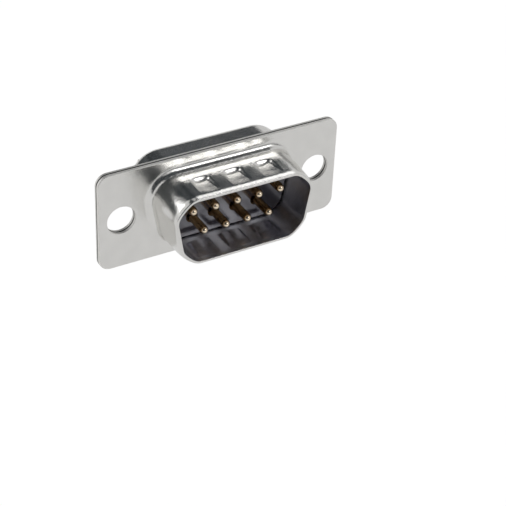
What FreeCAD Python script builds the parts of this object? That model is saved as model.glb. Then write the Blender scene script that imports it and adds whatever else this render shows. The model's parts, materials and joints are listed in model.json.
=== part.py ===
"""Nine-way male D-sub panel connector with solder-cup contacts.

Two drawn sheet shells clamp a two-part insulator, and the insulator clamps nine turned contacts.
The origin is the middle of the two mounting holes on the front face of the flange.
The pins point along -Y, the solder cups along +Y, and the wider side of the D is up, along +Z.
"""

import math
import os

import FreeCAD
import Part

V = FreeCAD.Vector

# Sheet of both shells
sheet = 0.42

# Contact pattern
pin_pitch = 2.77
row_spacing = 2.84
top_row = 5
bottom_row = 4

# Mouth of the collar, measured inside the sheet
side_margin = 2.86
row_margin = 2.655
mouth_corner = 2.45
side_slope = 10.0
collar_height = 5.9
root_bend = 0.9
hidden_root_bend = 0.82
lip_round = 0.12
lead_in_length = 0.7
lead_in_depth = 0.12

# Box of the rear shell
box_margin = 1.3
box_depth = 4.1
box_draft = 1.5
box_root_bend = 0.35
box_back_bend = 1.15

# Flange, shared by both shells
hole_from_box = 2.795
hole_to_end = 2.805
hole_diameter = 3.5
flange_above_box = 0.825
flange_corner = 1.4
blanked_edge = 0.1

# Grounding dimples pressed into the collar from outside
dimple_width = 2.3
dimple_length = 3.2
dimple_depth = 0.34
dimple_pitch = 4.0
dimple_from_lip = 2.35
top_dimples = 3
bottom_dimples = 3

# Insulator
nose_height = 0.9
nose_clearance = 0.1
block_clearance = 0.1
block_split = 1.6
neck_inset = 0.55
neck_clearance = 0.12
neck_depth = 1.15
neck_edge = 0.25
nose_edge = 0.12

# Contact
pin_diameter = 1.02
pin_tip_setback = 1.6
pin_nose = 0.32
pin_nose_flat = 0.5
shank_diameter = 1.4
shoulder_diameter = 2.2
shoulder_length = 0.8
cup_diameter = 1.76
cup_bore = 1.2
cup_depth = 4.0
cup_mouth_past_neck = 2.4
cup_scoop_length = 1.65
cup_scoop_floor = 0.1
contact_clearance = 0.04

# Widths that follow from the contact pattern
mouth_width = (top_row - 1) * pin_pitch + 2 * side_margin
mouth_height = row_spacing + 2 * row_margin
box_width = mouth_width + 2 * box_margin
hole_spacing = box_width + 2 * hole_from_box
flange_length = hole_spacing + 2 * hole_to_end
flange_height = mouth_height + 2 * (box_margin + flange_above_box)

# Planes along the connector's axis, from the front face of the flange
lip_plane = -collar_height
front_plane = 0.0
seam_plane = front_plane + sheet
rear_flange_plane = seam_plane + sheet
box_back_plane = rear_flange_plane + box_depth
nose_plane = front_plane - nose_height
split_plane = seam_plane + block_split
block_back_plane = box_back_plane - sheet
neck_back_plane = box_back_plane + neck_depth
cup_mouth_plane = neck_back_plane + cup_mouth_past_neck
tip_plane = lip_plane + pin_tip_setback
shoulder_plane = split_plane - shoulder_length


def rounded_face(corners, radius, y):
    """Flat face at height y inside a convex outline whose corners are all rounded alike."""
    count = len(corners)
    starts, middles, ends = [], [], []
    for i in range(count):
        corner = V(corners[i][0], y, corners[i][1])
        before = corners[i - 1]
        after = corners[(i + 1) % count]
        back = (V(before[0], y, before[1]) - corner).normalize()
        ahead = (V(after[0], y, after[1]) - corner).normalize()
        half = back.getAngle(ahead) / 2
        inward = (back + ahead).normalize()
        run = radius / math.tan(half)
        starts.append(corner + back * run)
        middles.append(corner + inward * (radius / math.sin(half) - radius))
        ends.append(corner + ahead * run)
    edges = []
    for i in range(count):
        edges.append(Part.Arc(starts[i], middles[i], ends[i]).toShape())
        edges.append(Part.LineSegment(ends[i], starts[(i + 1) % count]).toShape())
    return Part.Face(Part.Wire(Part.__sortEdges__(edges)))


def d_face(offset, y):
    """D-shaped face: the outline of the mouth moved outward by offset, wider side up."""
    slope = math.radians(side_slope)
    half_height = mouth_height / 2 + offset
    radius = mouth_corner + offset
    centre_x = mouth_width / 2 - mouth_corner
    centre_z = mouth_height / 2 - mouth_corner
    middle_x = centre_x - centre_z * math.tan(slope) + radius / math.cos(slope)
    lean = half_height * math.tan(slope)
    corners = [
        (-middle_x - lean, half_height),
        (middle_x + lean, half_height),
        (middle_x - lean, -half_height),
        (-middle_x + lean, -half_height),
    ]
    return rounded_face(corners, radius, y)


def d_prism(offset, y_from, y_to):
    """Straight D-shaped block between two planes."""
    return d_face(offset, y_from).extrude(V(0, y_to - y_from, 0))


def d_taper(offset_from, offset_to, y_from, y_to):
    """D-shaped block that draws in evenly from one plane to the other."""
    wires = [d_face(offset_from, y_from).OuterWire, d_face(offset_to, y_to).OuterWire]
    return Part.makeLoft(wires, True, True)


def cylinder_along_y(x, z, radius, y_from, y_to):
    """Round bar or hole tool parallel to the contacts."""
    return Part.makeCylinder(radius, y_to - y_from, V(x, y_from, z), V(0, 1, 0))


def bend_flat(radius):
    """Leg of the chamfer that touches the middle of a bend of this radius."""
    return radius * (2 - math.sqrt(2))


def edges_in_plane(shape, y, inside_of):
    """Edges that lie in the plane y, no further from the middle than the two lengths given."""
    found = []
    for edge in shape.Edges:
        box = edge.BoundBox
        flat = abs(box.YMin - y) < 1e-4 and abs(box.YMax - y) < 1e-4
        inner = max(box.XMax, -box.XMin) < inside_of[0] and max(box.ZMax, -box.ZMin) < inside_of[1]
        if flat and inner:
            found.append(edge)
    return found


def flange_plate(y_from, outer_plane):
    """One flange layer with its two holes, its rim eased on the side that shows."""
    half_length = flange_length / 2
    half_height = flange_height / 2
    corners = [
        (-half_length, half_height),
        (half_length, half_height),
        (half_length, -half_height),
        (-half_length, -half_height),
    ]
    plate = rounded_face(corners, flange_corner, y_from).extrude(V(0, sheet, 0))
    rim = edges_in_plane(plate, outer_plane, (flange_length, flange_height))
    plate = plate.makeChamfer(blanked_edge, rim)
    for x in (-hole_spacing / 2, hole_spacing / 2):
        plate = plate.cut(cylinder_along_y(x, 0, hole_diameter / 2, y_from - 1, y_from + sheet + 1))
    return plate


def dimple_press(x, side, bulge):
    """Round-ended bar that presses one dimple; bulge thickens it to the far side of the sheet."""
    half_width = dimple_width / 2
    radius = (half_width**2 + dimple_depth**2) / (2 * dimple_depth)
    straight = dimple_length - dimple_width
    wall_plane = mouth_height / 2 + sheet
    axis_z = side * (wall_plane + radius - dimple_depth)
    y_back = lip_plane + dimple_from_lip + straight / 2
    y_front = y_back - straight
    size = radius + bulge
    bar = cylinder_along_y(x, axis_z, size, y_front, y_back)
    for y in (y_front, y_back):
        bar = bar.fuse(Part.makeSphere(size, V(x, y, axis_z), V(0, 1, 0)))
    return bar


def dimple_places():
    """Middle and side of each dimple, above and below."""
    places = []
    for count, side in ((top_dimples, 1), (bottom_dimples, -1)):
        for i in range(count):
            places.append(((i - (count - 1) / 2) * dimple_pitch, side))
    return places


def front_shell():
    """Drawn shell with the D-shaped collar around the pins."""
    plate = flange_plate(front_plane, front_plane)
    lead_in_plane = lip_plane + lead_in_length
    lead_in = d_taper(sheet - lead_in_depth, sheet, lip_plane, lead_in_plane)
    collar = d_prism(sheet, lead_in_plane, seam_plane)
    shell = plate.fuse(collar).fuse(lead_in).removeSplitter()
    reach = (mouth_width / 2 + sheet + 0.1, mouth_height / 2 + sheet + 0.1)
    shell = shell.makeFillet(root_bend, edges_in_plane(shell, front_plane, reach))
    shell = shell.makeFillet(lip_round, edges_in_plane(shell, lip_plane, reach))
    shell = shell.cut(d_prism(0, lip_plane - 1, seam_plane + 1))
    reach = (mouth_width / 2 + 0.1, mouth_height / 2 + 0.1)
    inner_bend = bend_flat(hidden_root_bend)
    shell = shell.makeChamfer(inner_bend, edges_in_plane(shell, seam_plane, reach))
    room = d_prism(sheet / 2, lead_in_plane, front_plane)
    for x, side in dimple_places():
        shell = shell.fuse(dimple_press(x, side, sheet).common(room))
    for x, side in dimple_places():
        shell = shell.cut(dimple_press(x, side, 0))
    return shell.removeSplitter()


def rear_shell():
    """Drawn shell with the rounded box behind the flange, turned in around the insulator."""
    draw_in = box_depth * math.tan(math.radians(box_draft))
    plate = flange_plate(seam_plane, rear_flange_plane)
    box = d_taper(box_margin, box_margin - draw_in, seam_plane, box_back_plane)
    shell = plate.fuse(box).removeSplitter()
    reach = (mouth_width / 2 + box_margin + 0.1, mouth_height / 2 + box_margin + 0.1)
    shell = shell.makeFillet(box_root_bend, edges_in_plane(shell, rear_flange_plane, reach))
    shell = shell.makeFillet(box_back_bend, edges_in_plane(shell, box_back_plane, reach))
    hollow = d_taper(box_margin - sheet, box_margin - sheet - draw_in, seam_plane, block_back_plane)
    inner_bend = bend_flat(box_back_bend - sheet)
    hollow = hollow.makeChamfer(inner_bend, edges_in_plane(hollow, block_back_plane, reach))
    shell = shell.cut(hollow)
    shell = shell.cut(d_prism(neck_clearance - neck_inset, block_back_plane - 1, box_back_plane + 1))
    return shell.removeSplitter()


def contact_places():
    """Number, middle and outward side of each contact, the wider row first."""
    places = []
    for count, z in ((top_row, row_spacing / 2), (bottom_row, -row_spacing / 2)):
        for i in range(count):
            places.append((len(places) + 1, (i - (count - 1) / 2) * pin_pitch, z))
    return places


def front_insulator():
    """Front moulding: its nose stands in the collar and its block seats against the flange."""
    draw_in = box_depth * math.tan(math.radians(box_draft))
    width = box_margin - sheet - block_clearance
    nose = d_prism(-nose_clearance, nose_plane, seam_plane)
    reach = (mouth_width / 2, mouth_height / 2)
    nose = nose.makeChamfer(nose_edge, edges_in_plane(nose, nose_plane, reach))
    block = d_prism(width - draw_in, seam_plane, split_plane)
    body = nose.fuse(block).removeSplitter()
    for number, x, z in contact_places():
        radius = shank_diameter / 2 + contact_clearance
        body = body.cut(cylinder_along_y(x, z, radius, nose_plane - 1, split_plane + 1))
        pocket = shoulder_diameter / 2 + contact_clearance
        body = body.cut(cylinder_along_y(x, z, pocket, shoulder_plane, split_plane + 1))
    return body


def rear_insulator():
    """Rear moulding: its block fills the box and its neck carries the solder cups out."""
    draw_in = box_depth * math.tan(math.radians(box_draft))
    width = box_margin - sheet - block_clearance
    reach = (mouth_width / 2 + box_margin, mouth_height / 2 + box_margin)
    block = d_prism(width - draw_in, split_plane, block_back_plane)
    inner_bend = bend_flat(box_back_bend - sheet)
    block = block.makeChamfer(inner_bend, edges_in_plane(block, block_back_plane, reach))
    neck = d_prism(-neck_inset, split_plane, neck_back_plane)
    neck = neck.makeChamfer(neck_edge, edges_in_plane(neck, neck_back_plane, reach))
    body = block.fuse(neck).removeSplitter()
    for number, x, z in contact_places():
        radius = cup_diameter / 2 + contact_clearance
        body = body.cut(cylinder_along_y(x, z, radius, split_plane - 1, neck_back_plane + 1))
    return body


def contact_profile():
    """Half section of one contact in the YZ plane, with its axis on Z = 0."""
    pin = pin_diameter / 2
    shank = shank_diameter / 2
    shoulder = shoulder_diameter / 2
    cup = cup_diameter / 2
    bore = cup_bore / 2
    bore_floor = cup_mouth_plane - cup_depth
    points = [
        V(0, tip_plane, 0),
        V(0, tip_plane, pin_nose_flat / 2),
        V(0, tip_plane + pin_nose, pin),
        V(0, nose_plane, pin),
        V(0, nose_plane, shank),
        V(0, shoulder_plane, shank),
        V(0, shoulder_plane, shoulder),
        V(0, split_plane, shoulder),
        V(0, split_plane, cup),
        V(0, cup_mouth_plane, cup),
        V(0, cup_mouth_plane, bore),
        V(0, bore_floor, bore),
        V(0, bore_floor, 0),
    ]
    return Part.Face(Part.makePolygon(points + points[:1]))


def cup_scoop(side):
    """Tool that opens the outward half of a solder cup, with a sloped start."""
    out = side * cup_diameter
    floor = side * cup_scoop_floor
    start = cup_mouth_plane - cup_scoop_length
    points = [
        V(-cup_diameter, start - cup_diameter / 2, out),
        V(-cup_diameter, start, floor),
        V(-cup_diameter, cup_mouth_plane + 1, floor),
        V(-cup_diameter, cup_mouth_plane + 1, out),
    ]
    return Part.Face(Part.makePolygon(points + points[:1])).extrude(V(2 * cup_diameter, 0, 0))


def contact(x, z):
    """One turned contact: pin, shank, shoulder and barrel with a scooped solder cup."""
    side = 1 if z > 0 else -1
    turned = contact_profile().revolve(V(0, 0, 0), V(0, 1, 0), 360)
    turned = turned.cut(cup_scoop(side))
    turned.translate(V(x, 0, z))
    return turned


def save(name, shape):
    """Check one piece and write it."""
    if shape.ShapeType == "Compound" and len(shape.Solids) == 1:
        shape = shape.Solids[0]
    if not shape.isValid() or len(shape.Solids) != 1:
        raise ValueError(name + " is not one valid solid")
    shape.exportStep(os.path.join("parts", name + ".step"))
    print(name, "volume", round(shape.Volume, 3))


def main():
    os.makedirs("parts", exist_ok=True)
    save("front_shell", front_shell())
    save("rear_shell", rear_shell())
    save("front_insulator", front_insulator())
    save("rear_insulator", rear_insulator())
    for number, x, z in contact_places():
        save("contact_%d" % number, contact(x, z))


main()
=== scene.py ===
"""Nine-way D-sub plug: drawn shells, moulded insulator, plated contacts and a white photo stage."""

import json
import math

import bmesh
import bpy
from mathutils import Matrix, Vector


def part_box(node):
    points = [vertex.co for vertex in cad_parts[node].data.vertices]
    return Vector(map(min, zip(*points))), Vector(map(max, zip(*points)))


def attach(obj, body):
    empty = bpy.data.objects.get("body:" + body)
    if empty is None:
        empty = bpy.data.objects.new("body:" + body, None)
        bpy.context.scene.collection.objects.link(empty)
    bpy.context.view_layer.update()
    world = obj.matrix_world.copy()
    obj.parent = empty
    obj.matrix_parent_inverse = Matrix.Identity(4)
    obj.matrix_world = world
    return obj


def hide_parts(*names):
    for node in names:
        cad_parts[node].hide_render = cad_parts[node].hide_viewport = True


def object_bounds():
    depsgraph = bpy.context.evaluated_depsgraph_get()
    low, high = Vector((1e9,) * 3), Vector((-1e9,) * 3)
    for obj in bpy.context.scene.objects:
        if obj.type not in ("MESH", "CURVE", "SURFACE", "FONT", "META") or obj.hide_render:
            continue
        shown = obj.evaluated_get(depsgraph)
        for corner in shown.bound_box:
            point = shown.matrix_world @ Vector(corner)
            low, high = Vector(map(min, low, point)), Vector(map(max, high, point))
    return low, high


bl_info = {
    "name": "D-sub plug",
    "version": (1, 0, 0),
    "blender": (4, 5, 0),
    "location": "3D View > Sidebar > Connector",
    "description": "Builds the shells, contacts, insulator and stage of a nine-way D-sub plug",
    "category": "Object",
}

MM = 0.001
BODY = "root"

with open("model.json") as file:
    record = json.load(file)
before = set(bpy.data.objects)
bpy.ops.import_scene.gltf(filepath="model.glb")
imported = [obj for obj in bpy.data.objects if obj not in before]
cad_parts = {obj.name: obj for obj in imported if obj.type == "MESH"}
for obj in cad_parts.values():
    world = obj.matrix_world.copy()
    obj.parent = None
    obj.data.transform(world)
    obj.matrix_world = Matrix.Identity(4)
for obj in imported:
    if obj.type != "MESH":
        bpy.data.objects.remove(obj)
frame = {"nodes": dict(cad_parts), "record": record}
CAD_LOW, CAD_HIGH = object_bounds()
FRONT_LOW, FRONT_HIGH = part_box("front_shell")
_, REAR_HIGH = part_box("rear_shell")
NOSE_LOW, NOSE_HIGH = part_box("front_insulator")
CONTACT_LOW, CONTACT_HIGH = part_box("contact_1")
MOUNTS = {mount["name"]: mount for mount in frame["record"]["mounts"]}
CONTACTS = sorted(name for name in frame["nodes"] if name.startswith("contact_"))

# Edges that turn by more than this stay sharp in the shading.
CREASE_ANGLE = math.radians(38)

# Steps round each corner of an outline, and along its right, bottom, left and top side.
# The collar's long walls are finer, because its dimples are pressed into them.
COLLAR_CORNER_STEPS, COLLAR_WALL_STEPS = 16, (8, 140, 8, 160)
BOX_CORNER_STEPS, BOX_WALL_STEPS = 20, (6, 14, 6, 16)
FLANGE_CORNER_STEPS, FLANGE_WALL_STEPS = 10, (4, 12, 4, 12)

# Steps along the collar's length, and round a hole and a contact.
COLLAR_LENGTH_STEPS = 64
HOLE_STEPS = 64
CONTACT_STEPS = 48

# Steps over the quarter turn of each kind of edge.
BEND_STEPS = 8
BACK_STEPS = 14
LIP_STEPS = 5
NOSE_STEPS = 10
EASED_STEPS = 4
BURR_STEPS = 3

# Places of the dimples along a wall, counted in dimple pitches from its middle.
DIMPLES = (-1, 0, 1)
# A wall is flat where its outward direction is at least this upright.
UPRIGHT = 0.999

WHITE = (1.0, 1.0, 1.0, 1.0)

# Azimuth and elevation in degrees of each dark card's corners: low left, low right, high right
# and high left.
CARDS = {
    "card_behind": ((-50.0, 8.0), (42.0, 18.0), (40.0, 62.0), (-30.0, 62.0)),
    "card_at_camera": ((-178.0, -8.0), (-106.0, -8.0), (-106.0, 62.0), (-178.0, 62.0)),
    "card_in_front": ((105.0, 46.0), (265.0, 46.0), (265.0, 64.0), (105.0, 64.0)),
    "card_overhead": ((0.0, 58.0), (360.0, 58.0), (360.0, 90.0), (0.0, 90.0)),
    "card_horizon": ((120.0, 9.0), (182.0, 9.0), (182.0, 20.0), (120.0, 20.0)),
}
CARD_STEPS = 24
# Steps over which a card thins out at its edges.
CARD_FADE_STEPS = 2

# Azimuth and elevation of the lamps, in degrees.
SOFTBOX_AT = (46.0, 53.0)
KEY_AT = (149.3, 35.0)
RIM_LAMP_AT = (-61.0, 33.0)

# The camera of the photo, fitted to the plug: its place, what it looks at and its upward direction.
CAMERA_PLACE = Vector((-0.072905, -0.130703, 0.097111))
CAMERA_TARGET = Vector((0.001479, -0.005320, -0.005431))
CAMERA_UP = Vector((0.255326, 0.516808, 0.817140))
# In millimetres.
SENSOR_WIDTH = 36.0
# In metres from the camera.
NEAREST_SEEN, FARTHEST_SEEN = 0.01, 10.0


def length(name, description, millimetres):
    """A length property, written in millimetres and kept in metres."""
    return bpy.props.FloatProperty(
        name=name,
        description=description,
        default=millimetres * MM,
        min=0.0,
        precision=5,
        unit="LENGTH",
    )


def share(name, description, value):
    """A property from 0 to 1."""
    return bpy.props.FloatProperty(
        name=name, description=description, default=value, min=0.0, max=1.0, subtype="FACTOR"
    )


def colour(name, description, value):
    """A colour property, in linear red, green and blue."""
    return bpy.props.FloatVectorProperty(
        name=name, description=description, default=value, size=3, min=0.0, max=1.0, subtype="COLOR"
    )


def power(name, description, watts):
    """The power of a lamp."""
    return bpy.props.FloatProperty(
        name=name, description=description, default=watts, min=0.0, unit="POWER"
    )


class ShellSizes(bpy.types.PropertyGroup):
    """Sizes of the two drawn shells."""

    sheet: length("Sheet", "Thickness of the steel sheet", FRONT_HIGH.y / MM)
    mouth_width: length("Mouth width", "Widest place inside the collar", 16.8)
    mouth_height: length("Mouth height", "Height inside the collar", 8.15)
    mouth_corner: length("Mouth corner", "Corner radius inside the collar", 2.45)
    side_slope: bpy.props.FloatProperty(
        name="Side slope",
        description="Lean of the two short sides of the D",
        default=math.radians(10.0),
        subtype="ANGLE",
    )
    collar_draft: bpy.props.FloatProperty(
        name="Collar draft",
        description="Lean of the collar's walls towards its rim",
        default=math.radians(0.8),
        subtype="ANGLE",
    )
    root_bend: length("Root bend", "Outer radius where the collar leaves the flange", 0.9)
    hidden_bend: length("Hidden bend", "Radius on the hidden side of the root bend", 0.82)
    lead_in_length: length("Lead-in length", "How far the rim of the collar draws in", 0.7)
    lead_in_depth: length("Lead-in depth", "How much the rim of the collar draws in", 0.1)
    corner_draw_length: length("Corner draw length", "Length over which the corners draw in", 2.8)
    corner_draw_depth: length("Corner draw depth", "How much the corners draw in at the rim", 0.21)
    lip_round: length("Lip rounding", "Outer rounding of the collar's rim", 0.12)
    burr_round: length("Burr rounding", "Rounding of the sharp edges left by the press", 0.04)
    seam_round: length("Seam rounding", "Rounding of the edges at the seam of the flange", 0.09)
    dimple_width: length("Dimple width", "Width of a grounding dimple", 2.3)
    dimple_length: length("Dimple length", "Length of a grounding dimple", 3.2)
    dimple_depth: length("Dimple depth", "Depth of a dimple at its end towards the flange", 0.42)
    dimple_brim: length("Dimple brim", "Rounding of the brim and creases of a dimple", 0.13)
    dimple_corner: length("Dimple corner", "Rounding of a dimple's outline", 0.7)
    dimple_crest: length("Dimple crest", "How far the sheet is pulled down between dimples", 0.09)
    dimple_lean: bpy.props.FloatProperty(
        name="Dimple lean",
        description="Lean of a dimple's floor, which rises towards the rim",
        default=math.radians(5.5),
        subtype="ANGLE",
    )
    dimple_side: bpy.props.FloatProperty(
        name="Dimple side",
        description="Steepness of the sides of a dimple",
        default=math.radians(50.0),
        subtype="ANGLE",
    )
    dimple_pitch: length("Dimple pitch", "Distance from one dimple to the next", 4.0)
    dimple_from_lip: length("Dimple from lip", "Distance of the dimples from the rim", 2.35)
    flange_corner: length("Flange corner", "Corner radius of the flange", 1.4)
    blanked_edge: length("Blanked edge", "Rounding of the flange's outer rim", 0.1)
    hole_diameter: length("Mounting hole", "Diameter of the two mounting holes", 3.5)
    box_margin: length("Box margin", "How far the rear box stands out beyond the mouth", 1.3)
    box_draft: bpy.props.FloatProperty(
        name="Box draft",
        description="Lean of the rear box's walls",
        default=math.radians(1.5),
        subtype="ANGLE",
    )
    box_root_bend: length("Box root bend", "Radius where the rear box leaves the flange", 0.35)
    box_back_bend: length("Box back bend", "Radius round the back of the rear box", 1.15)
    back_opening: length("Back opening", "How far the back opening lies inside the mouth", 0.43)
    flat_band: length("Flat band", "Narrow flat band that keeps the flange level beside its edges", 0.1)


class ContactSizes(bpy.types.PropertyGroup):
    """Sizes of one turned contact."""

    pin: length("Pin", "Diameter of the pin", 1.02)
    pin_nose: length("Pin nose", "Length of the rounded tip", 0.66)
    shank: length("Shank", "Diameter inside the front insulator", 1.4)
    shank_recess: length("Shank recess", "How far the shank lies behind the insulator's face", 0.6)
    shoulder: length("Shoulder", "Diameter of the shoulder between the two insulators", 2.2)
    shoulder_length: length("Shoulder length", "Length of the shoulder", 0.8)
    cup: length("Solder cup", "Outer diameter of the solder cup", 1.76)
    cup_bore: length("Cup bore", "Diameter of the bore for the wire", 1.2)
    cup_depth: length("Cup depth", "Depth of the bore for the wire", 4.0)
    scoop_length: length("Scoop length", "Length of the open half of the cup", 1.65)
    scoop_floor: length("Scoop floor", "Height of the cup's edge above its middle", 0.1)
    edge_round: length("Edge rounding", "Rounding of the cup's mouth", 0.05)


class Finishes(bpy.types.PropertyGroup):
    """Colours and gloss of the materials."""

    tin: colour("Tin", "Colour of the tin plate", (0.8, 0.792, 0.77))
    tin_edge: colour("Tin edge", "Colour of the edges that handling has polished", (0.8, 0.79, 0.77))
    tin_satin: share("Satin", "Roughness of the flat flange", 0.23)
    tin_drawn: share("Drawn", "Roughness of the walls that the die has polished", 0.12)
    tin_inside: share("Inside", "Roughness of the walls inside the collar", 0.3)
    # Painted reflection: the bluish tint of the tin inside the collar stands in for the purple-grey
    # insulator and cavity it reflects.
    tin_within_painted_tint: colour("Tin within", "Colour of the tin plate inside the collar", (0.8, 0.8, 0.86))
    cut_steel: colour("Cut steel", "Colour of the sheared rim", (0.8, 0.79, 0.765))
    # Partly oxide and partly painted shade: the hole walls are darker than the sheared rim, which stands
    # in for the shade inside the holes.
    punched: colour("Punched", "Colour of the walls of the punched holes", (0.7, 0.69, 0.67))
    seam: colour("Seam", "Colour of the shadowed line between the two shells", (0.03, 0.03, 0.032))
    plastic: colour("Plastic", "Colour of the insulator", (0.024, 0.022, 0.028))
    gold: colour("Gold", "Colour of the gold plate", (0.78, 0.6, 0.36))
    gold_shade: colour("Gold shade", "Colour of the gold plate where it is thin", (0.6, 0.43, 0.25))
    # Painted shade: the pins' shafts inside the collar take this darker gold, which stands in for the
    # shade deep in the collar.
    gold_shaft_painted_shade: colour("Gold shaft", "Colour of the pins' shafts, deep in the collar", (0.34, 0.22, 0.1))
    # Painted highlight: the pale colour on the pins' tips stands in for the light they catch; tip_datum
    # places where it fades.
    gold_tip_painted_highlight: colour("Gold tip", "Colour of the polished tips of the pins", (0.94, 0.8, 0.6))
    tip_datum: length("Tip datum", "Where the tip's fade is counted from, before the flange", 5.0)
    cut_satin: share("Cut satin", "Least roughness of the sheared edges", 0.46)
    plastic_satin: share("Plastic satin", "Least roughness of the plastic", 0.09)
    gold_satin: share("Gold satin", "Least roughness of the gold plate", 0.06)
    ripple: length("Ripple", "Height of the broad ripple of the sheet", 0.012)
    peel: length("Peel", "Height of the unevenness of the drawn walls", 0.018)
    grain: length("Grain", "Height of the grain of the tin plate", 0.006)
    shear_lines: length("Shear lines", "Height of the lines on a sheared edge", 0.004)
    mould_skin: length("Mould skin", "Height of the skin of the plastic", 0.0012)
    turning_lines: length("Turning lines", "Height of the lines on a turned contact", 0.001)


class StageSizes(bpy.types.PropertyGroup):
    """Sizes and levels of the studio."""

    floor_drop: length("Floor drop", "Height of the plug above the floor", 24.0)
    floor_span: length("Floor span", "Width of the floor", 4000.0)
    softbox_span: length("Softbox span", "Width of the lamp behind and overhead", 150.0)
    softbox_distance: length("Softbox distance", "Distance of the lamp behind and overhead", 380.0)
    softbox_power: power("Softbox power", "Power of the lamp behind and overhead", 0.054)
    key_span: length("Key span", "Width of the lamp at the front right", 110.0)
    key_distance: length("Key distance", "Distance of the lamp at the front right", 380.0)
    key_power: power("Key power", "Power of the lamp at the front right", 0.088)
    rim_span: length("Rim lamp span", "Width of the lamp behind on the left", 150.0)
    rim_distance: length("Rim lamp distance", "Distance of the lamp behind on the left", 380.0)
    rim_power: power("Rim lamp power", "Power of the lamp behind on the left", 0.11)
    room: share("Room light", "Level of the light that comes from all round", 0.66)
    floor_glow: share("Floor glow", "How much of the floor glows white for the camera", 0.7)
    glow_level: bpy.props.FloatProperty(
        name="Glow level", description="Brightness of the glowing floor", default=1.15, min=0.0
    )
    card: colour("Card", "Colour of the dark cards that the metal reflects", (0.03, 0.035, 0.038))
    card_fade: colour("Card fade", "Colour of the paler patches of the dark cards", (0.14, 0.15, 0.16))
    card_distance: length("Card distance", "Distance of the dark cards from the plug", 400.0)
    focal_length: length("Focal length", "Focal length of the camera on a 36 mm sensor", 110.956)


class Wire:
    """An output of a shader node, which sums and products turn into Math nodes."""

    def __init__(self, graph, socket):
        self.graph = graph
        self.socket = socket

    def __add__(self, other):
        return self.graph.calculate("ADD", self, other)

    def __radd__(self, other):
        return self.graph.calculate("ADD", other, self)

    def __sub__(self, other):
        return self.graph.calculate("SUBTRACT", self, other)

    def __rsub__(self, other):
        return self.graph.calculate("SUBTRACT", other, self)

    def __mul__(self, other):
        return self.graph.calculate("MULTIPLY", self, other)

    def __rmul__(self, other):
        return self.graph.calculate("MULTIPLY", other, self)


class Graph:
    """The node tree of one material or world."""

    def __init__(self, owner):
        owner.use_nodes = True
        self.tree = owner.node_tree
        self.tree.nodes.clear()

    def node(self, kind, settings=None, inputs=None, output=0):
        """One node: its settings first, then the values or wires of its inputs."""
        made = self.tree.nodes.new(kind)
        for key, value in (settings or {}).items():
            if key == "stops":
                self.set_stops(made.color_ramp, value)
            else:
                setattr(made, key, value)
        for key, value in (inputs or {}).items():
            if isinstance(value, Wire):
                self.tree.links.new(value.socket, made.inputs[key])
            else:
                made.inputs[key].default_value = value
        return Wire(self, made.outputs[output]) if made.outputs else None

    def set_stops(self, ramp, stops):
        """Places and grey levels of a colour ramp."""
        for i, (place, level) in enumerate(stops):
            element = ramp.elements[i] if i < 2 else ramp.elements.new(place)
            element.position = place
            element.color = (level, level, level, 1.0)

    def calculate(self, operation, first, second=0.0):
        """Result of one operation on numbers or wires."""
        return self.node("ShaderNodeMath", {"operation": operation}, {0: first, 1: second})

    def mix_colours(self, factor, first, second):
        """Blend of two colours or colour wires."""
        ends = [c if isinstance(c, Wire) else (*c, 1.0) for c in (first, second)]
        return self.node(
            "ShaderNodeMix", {"data_type": "RGBA"}, {0: factor, 6: ends[0], 7: ends[1]}, output=2
        )

    def mix_values(self, factor, first, second):
        """Blend of two numbers or wires."""
        return self.node("ShaderNodeMix", {"data_type": "FLOAT"}, {0: factor, 2: first, 3: second})

    def ramp(self, value, *stops):
        """Wire bent through a grey ramp."""
        return self.node("ShaderNodeValToRGB", {"stops": stops}, {0: value})

    def millimetres(self, stretch=(1.0, 1.0, 1.0)):
        """Place on the piece in millimetres, squeezed along each axis by stretch."""
        place = self.node("ShaderNodeTexCoord", output="Object")
        scale = tuple(s / MM for s in stretch)
        return self.node(
            "ShaderNodeMapping", {"vector_type": "POINT"}, {"Vector": place, "Scale": scale}
        )

    def depth(self):
        """Place along the plug's axis in millimetres, from the front of the flange backwards."""
        return self.node("ShaderNodeSeparateXYZ", {}, {0: self.millimetres()}, output="Y")

    def noise(self, place, scale, detail=3.0, roughness=0.5):
        """Cloudy pattern with so many lumps to the millimetre."""
        return self.node(
            "ShaderNodeTexNoise",
            {},
            {"Vector": place, "Scale": scale, "Detail": detail, "Roughness": roughness},
        )

    def bump(self, pattern, height, normal=None):
        """Surface relief as high as height where the pattern is 1."""
        inputs = {"Height": pattern, "Strength": 1.0, "Distance": height}
        if normal:
            inputs["Normal"] = normal
        return self.node("ShaderNodeBump", {}, inputs)

    def surface(self, **inputs):
        """Principled surface whose inputs are given by name, joined to the output."""
        self.node("ShaderNodeOutputMaterial", {}, {"Surface": self.shader(**inputs)})

    def shader(self, **inputs):
        """Principled shader whose inputs are given by name."""
        named = {}
        for key, value in inputs.items():
            named[key.replace("_", " ").title().replace("Ior", "IOR")] = value
        return self.node("ShaderNodeBsdfPrincipled", {}, named)


def scaled(tone, factor):
    """Tone made darker or brighter."""
    return tuple(c * factor for c in tone)


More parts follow.
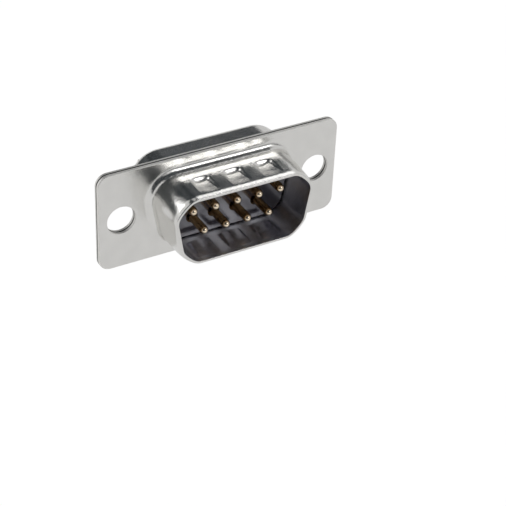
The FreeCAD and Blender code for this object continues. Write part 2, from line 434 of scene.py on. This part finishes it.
def tin_plate(scene, name="tin_plate"):
    """Tin-plated steel: satin on the flat sheet, brighter where the die has drawn it."""
    finish = scene.connector_finishes
    within = name == "tin_plate_inside"
    die_polish = finish.tin_inside if within else finish.tin_drawn
    # Inside the collar the tin plate takes a painted tint that stands in for the reflected cavity.
    bright = finish.tin_within_painted_tint if within else finish.tin
    made = bpy.data.materials.new(name)
    g = Graph(made)
    place = g.millimetres()
    blotch = g.ramp(g.noise(place, 0.55, 2.0), (0.35, 0.0), (0.68, 1.0))
    grain = g.noise(place, 9.0, 4.0, 0.65)
    ripple = g.noise(place, 1.1, 2.0)
    peel = g.noise(place, 3.2, 2.0, 0.6)
    rolling = g.noise(g.millimetres((0.25, 7.0, 7.0)), 1.0, 3.0)
    facing = g.node("ShaderNodeNewGeometry", output="Normal")
    across = g.node("ShaderNodeSeparateXYZ", {}, {0: facing}, output="Y")
    flat = g.ramp(across * across, (0.35, 0.0), (0.95, 1.0))
    uneven = peel * (1 - 0.8 * flat)
    edge = g.ramp(g.node("ShaderNodeNewGeometry", output="Pointiness"), (0.52, 0.0), (0.62, 1.0))
    tint = g.mix_colours(blotch, scaled(bright, 0.95), (*bright,))
    satin = finish.tin_satin + 0.09 * (rolling - 0.5) + 0.05 * (blotch - 0.5)
    drawn = die_polish + 0.16 * (grain - 0.5) + 0.06 * blotch
    relief = g.bump(grain, finish.grain)
    relief = g.bump(uneven, finish.peel, relief)
    relief = g.bump(ripple, finish.ripple, relief)
    g.surface(
        base_color=g.mix_colours(0.35 * edge, tint, (*finish.tin_edge,)),
        metallic=1.0,
        roughness=g.mix_values(flat, drawn, satin),
        normal=relief,
    )
    return made


def cut_edge(scene, name="cut_edge"):
    """Sheared edge of the sheet: dull, lined across its thickness, with painted shade along the seam."""
    finish = scene.connector_finishes
    # The punched holes take a darker tone: partly oxide, partly painted shade.
    tone = finish.punched if name == "punched_edge" else finish.cut_steel
    made = bpy.data.materials.new(name)
    g = Graph(made)
    lines = g.noise(g.millimetres((1.0, 0.15, 1.0)), 14.0, 3.0, 0.6)
    patch = g.noise(g.millimetres(), 1.5, 2.0)
    off_seam = g.calculate("ABSOLUTE", g.depth() - scene.connector_shells.sheet / MM)
    # Painted shade: the base colour darkens to the seam colour along the line where the two shells meet.
    painted_seam_shade = g.ramp(off_seam, (0.07, 1.0), (0.11, 0.0))
    steel = g.mix_colours(patch, (*tone,), scaled(tone, 1.2))
    g.surface(
        base_color=g.mix_colours(painted_seam_shade, steel, (*finish.seam,)),
        metallic=1.0,
        roughness=finish.cut_satin + 0.2 * lines,
        normal=g.bump(lines, finish.shear_lines),
    )
    return made


def moulded_plastic(scene):
    """Black glass-filled plastic with the fine skin of its mould."""
    finish = scene.connector_finishes
    made = bpy.data.materials.new("moulded_plastic")
    g = Graph(made)
    place = g.millimetres()
    skin = g.noise(place, 16.0, 4.0, 0.6)
    flow = g.noise(g.millimetres((0.5, 1.0, 1.4)), 0.7, 2.0)
    warmer = tuple(c * k for c, k in zip(finish.plastic, (1.35, 1.2, 1.3)))
    g.surface(
        base_color=g.mix_colours(flow, (*finish.plastic,), warmer),
        roughness=finish.plastic_satin + 0.08 * skin + 0.05 * flow,
        normal=g.bump(skin, finish.mould_skin),
        specular_ior_level=0.95,
        ior=1.7,
    )
    return made


def gold_plate(scene):
    """Thin gold over turned brass, with faint turning lines, painted shade on the shafts inside the
    collar and a painted highlight on the tips.
    """
    finish = scene.connector_finishes
    made = bpy.data.materials.new("gold_plate")
    g = Graph(made)
    turning = g.noise(g.millimetres((0.3, 1.0, 0.3)), 18.0, 2.0)
    cloud = g.noise(g.millimetres(), 1.8, 3.0)
    depth = g.depth()
    # Painted highlight: the front ends of the pins fade to the pale tip colour.
    tip = g.ramp(depth + finish.tip_datum / MM, (0.8, 1.0), (1.0, 0.0))
    # Painted shade: in front of the flange the gold darkens to the shaft colour, and behind it stays
    # plain gold.
    behind = g.ramp(depth, (0.0, 0.0), (1.0, 1.0))
    painted_shaft_shade = g.mix_colours(cloud, (*finish.gold_shaft_painted_shade,), scaled(finish.gold_shaft_painted_shade, 1.7))
    gold = g.mix_colours(cloud, (*finish.gold_shade,), (*finish.gold,))
    gold = g.mix_colours(behind, painted_shaft_shade, gold)
    g.surface(
        base_color=g.mix_colours(tip, gold, (*finish.gold_tip_painted_highlight,)),
        metallic=1.0,
        roughness=finish.gold_satin + 0.1 * cloud + 0.05 * turning,
        normal=g.bump(turning, finish.turning_lines),
    )
    return made


def shell_materials(scene):
    """Materials of the drawn shells, in the order of their slots, made once."""
    makers = {
        "tin_plate": tin_plate,
        "cut_edge": cut_edge,
        "punched_edge": cut_edge,
        "tin_plate_inside": tin_plate,
    }
    return [bpy.data.materials.get(name) or maker(scene, name) for name, maker in makers.items()]


def put_in_scene(name, mesh, materials):
    """A smooth object that carries the mesh, with its creases kept sharp and its flats kept flat."""
    for item in materials:
        mesh.materials.append(item)
    mesh.shade_smooth()
    mesh.set_sharp_from_angle(angle=CREASE_ANGLE)
    piece = bpy.data.objects.new(name, mesh)
    bpy.context.scene.collection.objects.link(piece)
    weighted = piece.modifiers.new("flat_normals", "WEIGHTED_NORMAL")
    weighted.keep_sharp = True
    return piece


def steps(start, end, count):
    """Values spaced evenly from start to end, both included."""
    return [start + (end - start) * i / count for i in range(count + 1)]


def quarter(count):
    """Angles from nought to a right angle."""
    return steps(0.0, math.pi / 2, count)


def rounded_stations(corners, arc_steps, straight_steps):
    """Centres and outward directions round a convex outline, given each corner's centre and turn."""
    stations = []
    for i, (x, z, start, end) in enumerate(corners):
        for angle in steps(start, end, arc_steps):
            stations.append((Vector((x, 0.0, z)), Vector((math.cos(angle), 0.0, math.sin(angle)))))
        centre, outward = stations[-1]
        following = corners[(i + 1) % len(corners)]
        ahead = Vector((following[0], 0.0, following[1]))
        for t in steps(0.0, 1.0, straight_steps[i])[1:-1]:
            stations.append((centre.lerp(ahead, t), outward))
    return stations


def d_stations(sizes, arc_steps, straight_steps):
    """Stations round the D, clockwise from its upper right corner, wider side up."""
    slope = sizes.side_slope
    x = sizes.mouth_width / 2 - sizes.mouth_corner
    z = sizes.mouth_height / 2 - sizes.mouth_corner
    low_x = x - 2 * z * math.tan(slope)
    up, down = math.pi / 2, -math.pi / 2
    right, left = -slope, slope - math.pi
    corners = [
        (x, z, up, right),
        (low_x, -z, right, down),
        (-low_x, -z, down, left),
        (-x, z, left, up - 2 * math.pi),
    ]
    return rounded_stations(corners, arc_steps, straight_steps)


def flange_stations(sizes):
    """Stations round the flange's rim."""
    x = FRONT_HIGH.x - sizes.flange_corner
    z = FRONT_HIGH.z - sizes.flange_corner
    turns = steps(math.pi / 2, -1.5 * math.pi, 4)
    corners = [
        (x, z, turns[0], turns[1]),
        (x, -z, turns[1], turns[2]),
        (-x, -z, turns[2], turns[3]),
        (-x, z, turns[3], turns[4]),
    ]
    return rounded_stations(corners, FLANGE_CORNER_STEPS, FLANGE_WALL_STEPS)


def hole_stations(x):
    """Stations round one mounting hole."""
    centre = Vector((x, 0.0, 0.0))
    turns = steps(0.0, 2 * math.pi, HOLE_STEPS)[:-1]
    return [(centre, Vector((math.cos(a), 0.0, math.sin(a)))) for a in turns]


def eased_wall(face_to, front_round, back_round, front, back):
    """Distances and heights of a wall from its front to its back, with both its edges rounded."""
    wall = []
    for a in quarter(EASED_STEPS):
        wall.append((face_to(front_round * (1 - math.sin(a))), front + front_round * (1 - math.cos(a))))
    for a in quarter(EASED_STEPS):
        wall.append((face_to(back_round * (1 - math.cos(a))), back - back_round * (1 - math.sin(a))))
    return wall


class SheetMesh:
    """A closed mesh made of rings that stand on stations."""

    def __init__(self):
        self.bm = bmesh.new()

    def ring(self, stations, radius, y, shift=None):
        """Ring at a distance from its stations' centres; shift gives a further move outward."""
        verts = []
        for centre, outward in stations:
            point = centre + outward * radius
            if shift:
                point = point + outward * shift(point.x, y, outward.z)
            verts.append(self.bm.verts.new((point.x, y, point.z)))
        return verts

    def join(self, rings, slot=0):
        """Quads from each ring to the next."""
        for near, far in zip(rings, rings[1:]):
            for i in range(len(near)):
                j = (i + 1) % len(near)
                face = self.bm.faces.new((near[i], near[j], far[j], far[i]))
                face.material_index = slot

    def join_wall(self, rings, slot):
        """Wall between two flat bands, which belong to the sheet's faces."""
        self.join(rings[:2])
        self.join(rings[1:-1], slot)
        self.join(rings[-2:])

    def fill(self, rings):
        """Flat sheet between an outer ring and the rings inside it."""
        edges = []
        for verts in rings:
            for i, vert in enumerate(verts):
                edges.append(self.bm.edges.get((vert, verts[i - 1])))
        bmesh.ops.triangle_fill(self.bm, use_beauty=True, edges=edges)

    def finish(self, name):
        """The mesh, with its faces turned outward."""
        bmesh.ops.recalc_face_normals(self.bm, faces=self.bm.faces)
        mesh = bpy.data.meshes.new(name)
        self.bm.to_mesh(mesh)
        self.bm.free()
        return mesh


def plate_rims(build, sizes, front, back, eased):
    """Rim and hole walls of one flange layer; gives the rings of its front and of its back."""
    crisp, seam = sizes.burr_round, sizes.seam_round
    first, last = (sizes.blanked_edge, seam) if eased == "front" else (seam, sizes.blanked_edge)
    hole_first, hole_last = (crisp, seam) if eased == "front" else (seam, crisp)
    outline = flange_stations(sizes)
    band, corner = sizes.flat_band, sizes.flange_corner
    outer = eased_wall(lambda inset: corner - inset, first, last, front, back)
    outer = [(corner - first - band, front), *outer, (corner - last - band, back)]
    rim = [build.ring(outline, radius, y) for radius, y in outer]
    build.join_wall(rim, slot=1)
    fronts, backs = [rim[0]], [rim[-1]]
    spacing = MOUNTS["flange_holes"]["dims"]["spacing_x_mm"] * MM
    radius = sizes.hole_diameter / 2
    for x in (-spacing / 2, spacing / 2):
        around = hole_stations(x)
        wall = eased_wall(lambda inset: radius + inset, hole_first, hole_last, front, back)
        wall = [(radius + hole_first + band, front), *wall, (radius + hole_last + band, back)]
        rings = [build.ring(around, r, y) for r, y in wall]
        build.join_wall(rings, slot=2)
        fronts.append(rings[0])
        backs.append(rings[-1])
    return fronts, backs


def eased(t):
    """Smooth rise from 0 to 1."""
    t = min(max(t, 0.0), 1.0)
    return t * t * (3 - 2 * t)


def lesser(a, b, blend):
    """The lesser of two heights, with the crease between them rounded off."""
    overlap = max(blend - abs(a - b), 0.0)
    return min(a, b) - overlap * overlap / (4 * blend)


def corner_draw(sizes, y, upward):
    """How far the corners of the collar are drawn in near the rim."""
    reach = max((FRONT_LOW.y + sizes.corner_draw_length - y) / sizes.corner_draw_length, 0.0)
    at_corner = 4 * upward * upward * (1 - upward * upward)
    return -sizes.corner_draw_depth * reach * reach * at_corner


def dimple_press(sizes, thickness):
    """Gives how far the collar is pushed in at a place, for the skin at this depth in the sheet."""
    back_y = FRONT_LOW.y + sizes.dimple_from_lip + sizes.dimple_length / 2
    half_width = sizes.dimple_width / 2
    lean, side = math.tan(sizes.dimple_lean), math.tan(sizes.dimple_side)
    side_shift = thickness * (math.hypot(1.0, side) - 1)
    crest, brim, pitch = sizes.dimple_crest, sizes.dimple_brim, sizes.dimple_pitch

    def shift(x, y, upward):
        if abs(upward) < UPRIGHT:
            return corner_draw(sizes, y, upward)
        from_back = back_y - y
        to_front = sizes.dimple_length - from_back
        if min(from_back, to_front) <= -brim:
            return 0.0
        across = min(abs(x - i * pitch) for i in DIMPLES)
        floor = sizes.dimple_depth - crest - from_back * lean
        back = from_back * side + side_shift
        flank = (half_width - across) * side + side_shift
        hollow = lesser(floor, lesser(back, flank, sizes.dimple_corner), brim)
        pressed = -lesser(-hollow, 0.0, brim)
        wave = crest * (1 + math.cos(2 * math.pi * across / pitch)) / 2
        if abs(x) > pitch:
            wave = crest * eased(1 - across / half_width)
        window = eased(from_back / (2 * crest + brim)) * eased(to_front / half_width)
        fade = eased(to_front / brim + 1) * math.sqrt(window)
        return -(pressed + wave) * fade

    return shift


def front_shell_mesh(sizes):
    """Front shell: flange layer, root bend, collar with dimples and drawn-in rim."""
    build = SheetMesh()
    sheet, bend, corner = sizes.sheet, sizes.root_bend, sizes.mouth_corner
    lip = FRONT_LOW.y
    stations = d_stations(sizes, COLLAR_CORNER_STEPS, COLLAR_WALL_STEPS)
    wall_ys = steps(-bend, lip + sizes.lead_in_length, COLLAR_LENGTH_STEPS)
    outer_press = dimple_press(sizes, 0.0)
    inner_press = dimple_press(sizes, sheet)

    def lean(y):
        return math.tan(sizes.collar_draft) * (y + bend)

    def rim_press(x, y, upward):
        return corner_draw(sizes, y, upward)

    rim_lean = lean(wall_ys[-1])
    outside = [(sheet + bend + sizes.flat_band, 0.0, None)]
    for a in quarter(BEND_STEPS):
        outside.append((sheet + bend - bend * math.sin(a), -bend + bend * math.cos(a), None))
    outside += [(sheet + lean(y), y, outer_press) for y in wall_ys[1:]]
    for t in steps(0.0, 1.0, BEND_STEPS)[1:]:
        drawn_in = sizes.lead_in_depth * t * t
        y = wall_ys[-1] - (sizes.lead_in_length - sizes.lip_round) * t
        outside.append((sheet + rim_lean - drawn_in, y, rim_press))
    rim = sheet + rim_lean - sizes.lead_in_depth
    for a in quarter(LIP_STEPS)[1:]:
        y = lip + sizes.lip_round * (1 - math.sin(a))
        outside.append((rim - sizes.lip_round * (1 - math.cos(a)), y, rim_press))
    burr = sizes.burr_round
    inside = []
    for a in quarter(BURR_STEPS):
        inside.append((rim_lean + burr * (1 - math.sin(a)), lip + burr * (1 - math.cos(a)), rim_press))
    inside += [(lean(y), y, inner_press) for y in reversed(wall_ys)]
    hidden = sizes.hidden_bend
    for a in quarter(BEND_STEPS):
        inside.append((hidden * (1 - math.cos(a)), sheet - hidden * (1 - math.sin(a)), None))
    inside.append((hidden + sizes.flat_band, sheet, None))
    rings = [build.ring(stations, corner + offset, y, press) for offset, y, press in outside + inside]
    edge = len(outside) + BURR_STEPS
    build.join(rings[: edge + 1])
    build.join(rings[edge:], slot=3)
    fronts, backs = plate_rims(build, sizes, 0.0, sheet, "front")
    build.fill([*fronts, rings[0]])
    build.fill([*backs, rings[-1]])
    return build.finish("front_shell_sheet")


def rear_shell_mesh(sizes):
    """Rear shell: flange layer and the rounded box that is turned in round the insulator."""
    build = SheetMesh()
    sheet, corner = sizes.sheet, sizes.mouth_corner
    front, plate, back = FRONT_HIGH.y, FRONT_HIGH.y + sheet, REAR_HIGH.y
    lean = math.tan(sizes.box_draft) * (back - plate) / (back - front)
    stations = d_stations(sizes, BOX_CORNER_STEPS, BOX_WALL_STEPS)

    def wall(y):
        return sizes.box_margin - lean * (y - front)

    root, turn = sizes.box_root_bend, sizes.box_back_bend
    outside = [(wall(plate) + root + sizes.flat_band, plate)]
    for a in quarter(BEND_STEPS):
        y = plate + root * (1 - math.cos(a))
        outside.append((wall(y) + root * (1 - math.sin(a)), y))
    for a in quarter(BACK_STEPS):
        y = back - turn * (1 - math.sin(a))
        outside.append((wall(y) - turn * (1 - math.cos(a)), y))
    burr, opening = sizes.burr_round, -sizes.back_opening
    for a in quarter(BURR_STEPS):
        outside.append((opening + burr * (1 - math.sin(a)), back - burr * (1 - math.cos(a))))
    outside.append((opening, back - sheet))
    inner_turn = turn - sheet
    for a in reversed(quarter(BEND_STEPS)):
        y = back - sheet - inner_turn * (1 - math.sin(a))
        outside.append((wall(y) - sheet - inner_turn * (1 - math.cos(a)), y))
    outside.append((wall(front) - sheet, front))
    rings = [build.ring(stations, corner + offset, y) for offset, y in outside]
    build.join(rings)
    fronts, backs = plate_rims(build, sizes, front, plate, "back")
    build.fill([*fronts, rings[-1]])
    build.fill([*backs, rings[0]])
    return build.finish("rear_shell_sheet")


def lathe(profile):
    """Mesh turned about the Y axis; its profile of radii and heights starts and ends on the axis."""
    bm = bmesh.new()
    start = bm.verts.new((0.0, profile[0][1], 0.0))
    end = bm.verts.new((0.0, profile[-1][1], 0.0))
    turns = steps(0.0, 2 * math.pi, CONTACT_STEPS)[:-1]
    rings = []
    for radius, y in profile[1:-1]:
        rings.append([bm.verts.new((radius * math.cos(a), y, radius * math.sin(a))) for a in turns])
    for i in range(CONTACT_STEPS):
        j = (i + 1) % CONTACT_STEPS
        bm.faces.new((start, rings[0][i], rings[0][j]))
        bm.faces.new((end, rings[-1][j], rings[-1][i]))
        for near, far in zip(rings, rings[1:]):
            bm.faces.new((near[i], far[i], far[j], near[j]))
    bmesh.ops.recalc_face_normals(bm, faces=bm.faces)
    mesh = bpy.data.meshes.new("turned")
    bm.to_mesh(mesh)
    bm.free()
    return mesh


def contact_profile(sizes):
    """Half section of a contact, from the tip of the pin to the floor of the cup's bore."""
    pin, shank, shoulder = sizes.pin / 2, sizes.shank / 2, sizes.shoulder / 2
    cup, bore, edge = sizes.cup / 2, sizes.cup_bore / 2, sizes.edge_round
    tip, mouth = CONTACT_LOW.y, CONTACT_HIGH.y
    split = NOSE_HIGH.y
    profile = [(0.0, tip)]
    for a in quarter(NOSE_STEPS)[1:]:
        profile.append((pin * math.sin(a), tip + sizes.pin_nose * (1 - math.cos(a))))
    shank_face = NOSE_LOW.y + sizes.shank_recess
    profile += [
        (pin, shank_face),
        (shank, shank_face),
        (shank, split - sizes.shoulder_length),
        (shoulder, split - sizes.shoulder_length),
        (shoulder, split),
        (cup, split),
    ]
    for a in quarter(BURR_STEPS):
        profile.append((cup - edge * (1 - math.cos(a)), mouth - edge * (1 - math.sin(a))))
    for a in quarter(BURR_STEPS):
        profile.append((bore + edge * (1 - math.sin(a)), mouth - edge * (1 - math.cos(a))))
    floor = mouth - sizes.cup_depth
    profile += [(bore, floor), (0.0, floor)]
    return profile


def scoop_mesh(sizes, side):
    """Tool that opens the outward half of a cup, with a sloped start."""
    reach, floor = sizes.cup, sizes.scoop_floor
    mouth = CONTACT_HIGH.y
    start = mouth - sizes.scoop_length
    end = mouth + reach
    section = [(start - reach / 2, reach), (start, floor), (end, floor), (end, reach)]
    bm = bmesh.new()
    ends = []
    for x in (-reach, reach):
        ends.append([bm.verts.new((x, y, side * z)) for y, z in section])
        bm.faces.new(ends[-1])
    for i in range(len(section)):
        bm.faces.new((ends[0][i], ends[0][i - 1], ends[1][i - 1], ends[1][i]))
    bmesh.ops.recalc_face_normals(bm, faces=bm.faces)
    mesh = bpy.data.meshes.new("scoop")
    bm.to_mesh(mesh)
    bm.free()
    return mesh


def scooped_contact_mesh(sizes, side):
    """Mesh of one contact whose cup is open on the given side."""
    scene = bpy.context.scene
    blank = bpy.data.objects.new("blank", lathe(contact_profile(sizes)))
    tool = bpy.data.objects.new("tool", scoop_mesh(sizes, side))
    for helper in (blank, tool):
        scene.collection.objects.link(helper)
    cut = blank.modifiers.new("scoop", "BOOLEAN")
    cut.operation = "DIFFERENCE"
    cut.solver = "EXACT"
    cut.object = tool
    evaluated = blank.evaluated_get(bpy.context.evaluated_depsgraph_get())
    mesh = bpy.data.meshes.new_from_object(evaluated)
    for helper in (blank, tool):
        bpy.data.objects.remove(helper)
    return mesh


class CONNECTOR_OT_front_shell(bpy.types.Operator):
    """Build the front shell with its collar and dimples"""

    bl_idname = "connector.front_shell"
    bl_label = "Front shell"

    def execute(self, context):
        mesh = front_shell_mesh(context.scene.connector_shells)
        piece = put_in_scene("front_shell_sheet", mesh, shell_materials(context.scene))
        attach(piece, BODY)
        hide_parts("front_shell")
        return {"FINISHED"}


class CONNECTOR_OT_rear_shell(bpy.types.Operator):
    """Build the rear shell with its rounded box"""

    bl_idname = "connector.rear_shell"
    bl_label = "Rear shell"

    def execute(self, context):
        mesh = rear_shell_mesh(context.scene.connector_shells)
        piece = put_in_scene("rear_shell_sheet", mesh, shell_materials(context.scene))
        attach(piece, BODY)
        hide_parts("rear_shell")
        return {"FINISHED"}


class CONNECTOR_OT_insulators(bpy.types.Operator):
    """Give the two halves of the insulator their moulded plastic"""

    bl_idname = "connector.insulators"
    bl_label = "Insulators"

    def execute(self, context):
        plastic = moulded_plastic(context.scene)
        for name in ("front_insulator", "rear_insulator"):
            node = frame["nodes"][name]
            node.material_slots[0].material = plastic
        return {"FINISHED"}


class CONNECTOR_OT_contacts(bpy.types.Operator):
    """Build the nine contacts with rounded pins and scooped solder cups"""

    bl_idname = "connector.contacts"
    bl_label = "Contacts"

    def execute(self, context):
        plating = [gold_plate(context.scene)]
        sizes = context.scene.connector_contacts
        meshes = {side: scooped_contact_mesh(sizes, side) for side in (1, -1)}
        for name in CONTACTS:
            x, _, z = MOUNTS[name.replace("contact", "pin")]["pos_m"]
            mesh = meshes[1 if z > 0 else -1].copy()
            mesh.transform(Matrix.Translation((x, 0.0, z)))
            piece = put_in_scene(name + "_turned", mesh, plating)
            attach(piece, BODY)
            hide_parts(name)
        return {"FINISHED"}


def aim(thing, place, target, up):
    """Stand thing at place, looking at target, with up upward in its view."""
    back = (place - target).normalized()
    right = up.cross(back).normalized()
    rows = Matrix((right, back.cross(right), back)).transposed()
    thing.matrix_world = Matrix.Translation(place) @ rows.to_4x4()


def stage_object(name, data):
    """An object of the stage, which is no part of the plug."""
    thing = bpy.data.objects.new(name, data)
    bpy.context.scene.collection.objects.link(thing)
    return thing


def white_room(stage):
    """World that looks white from the camera and lights the rest, reflections in the metal too, at a
    plain level.
    """
    world = bpy.data.worlds.new("white_room")
    bpy.context.scene.world = world
    g = Graph(world)
    seen = g.node("ShaderNodeLightPath", output="Is Camera Ray")
    strength = g.mix_values(seen, stage.room, 1.0)
    light = g.node("ShaderNodeBackground", {}, {"Color": WHITE, "Strength": strength})
    g.node("ShaderNodeOutputWorld", {}, {"Surface": light})


def floor_material(stage):
    """Pale floor that keeps the shadow but looks white where it is lit."""
    made = bpy.data.materials.new("pale_floor")
    g = Graph(made)
    cloud = g.noise(g.millimetres(), 0.01, 2.0)
    tone = g.mix_colours(cloud, (0.93, 0.93, 0.93), (0.95, 0.95, 0.95))
    paper = g.shader(base_color=tone, roughness=1.0, specular_ior_level=0.0)
    glow = g.node("ShaderNodeEmission", {}, {"Color": WHITE, "Strength": stage.glow_level})
    seen = g.node("ShaderNodeLightPath", output="Is Camera Ray")
    lit = g.node("ShaderNodeMixShader", {}, {0: stage.floor_glow * seen, 1: paper, 2: glow})
    behind = g.node("ShaderNodeNewGeometry", output="Backfacing")
    clear = g.node("ShaderNodeBsdfTransparent")
    both = g.node("ShaderNodeMixShader", {}, {0: behind, 1: lit, 2: clear})
    g.node("ShaderNodeOutputMaterial", {}, {"Surface": both})
    return made


def card_material(stage):
    """Dark felt of the cards, thinning out towards their edges."""
    made = bpy.data.materials.new("dark_card")
    g = Graph(made)
    felt = g.noise(g.millimetres(), 0.022, 3.0)
    patches = g.ramp(felt, (0.46, 0.0), (0.58, 1.0))
    tone = g.mix_colours(patches, (*stage.card,), (*stage.card_fade,))
    inside = g.node("ShaderNodeAttribute", {"attribute_name": "inside"}, output="Fac")
    cloth = g.shader(base_color=tone, roughness=1.0, specular_ior_level=0.0)
    clear = g.node("ShaderNodeBsdfTransparent")
    thinned = g.node("ShaderNodeMixShader", {}, {0: inside, 1: clear, 2: cloth})
    g.node("ShaderNodeOutputMaterial", {}, {"Surface": thinned})
    return made


def direction(azimuth, elevation):
    """Unit vector; azimuth 0 is behind the plug and turns towards +X; 0 elevation is level."""
    a, e = math.radians(azimuth), math.radians(elevation)
    return Vector((math.sin(a) * math.cos(e), math.cos(a) * math.cos(e), math.sin(e)))


def patch_mesh(name, distance, corners):
    """Piece of a sphere round the plug whose four corners are given by azimuth and elevation."""
    low_left, low_right, high_right, high_left = (Vector(c) for c in corners)
    bm = bmesh.new()
    inside = bm.verts.layers.float.new("inside")
    count = CARD_STEPS
    shares = steps(0.0, 1.0, count)
    grid = []
    for i, t in enumerate(shares):
        left, right = low_left.lerp(high_left, t), low_right.lerp(high_right, t)
        places = [direction(*left.lerp(right, u)) * distance for u in shares]
        grid.append([bm.verts.new(place) for place in places])
        for j, vert in enumerate(grid[-1]):
            vert[inside] = min(1.0, min(i, j, count - i, count - j) / CARD_FADE_STEPS)
    for near, far in zip(grid, grid[1:]):
        for i in range(count):
            bm.faces.new((near[i], near[i + 1], far[i + 1], far[i]))
    mesh = bpy.data.meshes.new(name)
    bm.to_mesh(mesh)
    bm.free()
    return mesh


class CONNECTOR_OT_stage(bpy.types.Operator):
    """Set up the floor, the dark cards, the lamps and the camera"""

    bl_idname = "connector.stage"
    bl_label = "Stage"

    def execute(self, context):
        stage = context.scene.connector_stage
        context.scene.view_settings.view_transform = "Standard"
        white_room(stage)
        self.lay_floor(stage)
        self.hang_cards(stage)
        self.hang_lamps(stage)
        self.place_camera(stage)
        return {"FINISHED"}

    def lay_floor(self, stage):
        """Wide pale floor below the plug."""
        span = stage.floor_span / 2
        height = CAD_LOW.z - stage.floor_drop
        mesh = bpy.data.meshes.new("floor")
        corners = [(-span, -span), (span, -span), (span, span), (-span, span)]
        mesh.from_pydata([(x, y, height) for x, y in corners], [], [(0, 1, 2, 3)])
        mesh.materials.append(floor_material(stage))
        stage_object("floor", mesh)

    def hang_cards(self, stage):
        """Dark cards round the plug, which only the metal sees."""
        felt = card_material(stage)
        for name, corners in CARDS.items():
            mesh = patch_mesh(name, stage.card_distance, corners)
            mesh.materials.append(felt)
            card = stage_object(name, mesh)
            card.visible_camera = False
            card.visible_diffuse = False
            card.visible_shadow = False

    def hang_lamps(self, stage):
        """Three square lamps, aimed at the plug."""
        lamps = {
            "softbox": (stage.softbox_power, stage.softbox_span, SOFTBOX_AT, stage.softbox_distance),
            "key": (stage.key_power, stage.key_span, KEY_AT, stage.key_distance),
            "rim_lamp": (stage.rim_power, stage.rim_span, RIM_LAMP_AT, stage.rim_distance),
        }
        for name, (watts, span, angles, distance) in lamps.items():
            lamp = bpy.data.lights.new(name, "AREA")
            lamp.size = span
            lamp.energy = watts
            box = stage_object(name, lamp)
            box.visible_camera = False
            aim(box, direction(*angles) * distance, Vector(), Vector((0.0, 0.0, 1.0)))

    def place_camera(self, stage):
        """The camera of the photo."""
        data = bpy.data.cameras.new("camera")
        data.lens = stage.focal_length / MM
        data.sensor_width = SENSOR_WIDTH
        data.clip_start = NEAREST_SEEN
        data.clip_end = FARTHEST_SEEN
        camera = stage_object("camera", data)
        aim(camera, CAMERA_PLACE, CAMERA_TARGET, CAMERA_UP)
        bpy.context.scene.camera = camera


OPERATORS = (
    CONNECTOR_OT_front_shell,
    CONNECTOR_OT_rear_shell,
    CONNECTOR_OT_insulators,
    CONNECTOR_OT_contacts,
    CONNECTOR_OT_stage,
)


class CONNECTOR_PT_build(bpy.types.Panel):
    """Buttons that build the plug, and the sizes and finishes they use"""

    bl_label = "Connector"
    bl_space_type = "VIEW_3D"
    bl_region_type = "UI"
    bl_category = "Connector"

    def draw(self, context):
        for operator in OPERATORS:
            self.layout.operator(operator.bl_idname)
        for name in SETTINGS:
            group = getattr(context.scene, name)
            box = self.layout.box()
            for key in group.bl_rna.properties.keys():
                if key not in ("rna_type", "name"):
                    box.prop(group, key)


SETTINGS = {
    "connector_shells": ShellSizes,
    "connector_contacts": ContactSizes,
    "connector_finishes": Finishes,
    "connector_stage": StageSizes,
}
CLASSES = (*SETTINGS.values(), *OPERATORS, CONNECTOR_PT_build)


def register():
    for item in CLASSES:
        bpy.utils.register_class(item)
    for name, group in SETTINGS.items():
        setattr(bpy.types.Scene, name, bpy.props.PointerProperty(type=group))


def unregister():
    for name in SETTINGS:
        delattr(bpy.types.Scene, name)
    for item in reversed(CLASSES):
        bpy.utils.unregister_class(item)


def main():
    register()
    bpy.ops.connector.front_shell()
    bpy.ops.connector.rear_shell()
    bpy.ops.connector.insulators()
    bpy.ops.connector.contacts()
    bpy.ops.connector.stage()


if __name__ == "__main__":
    main()
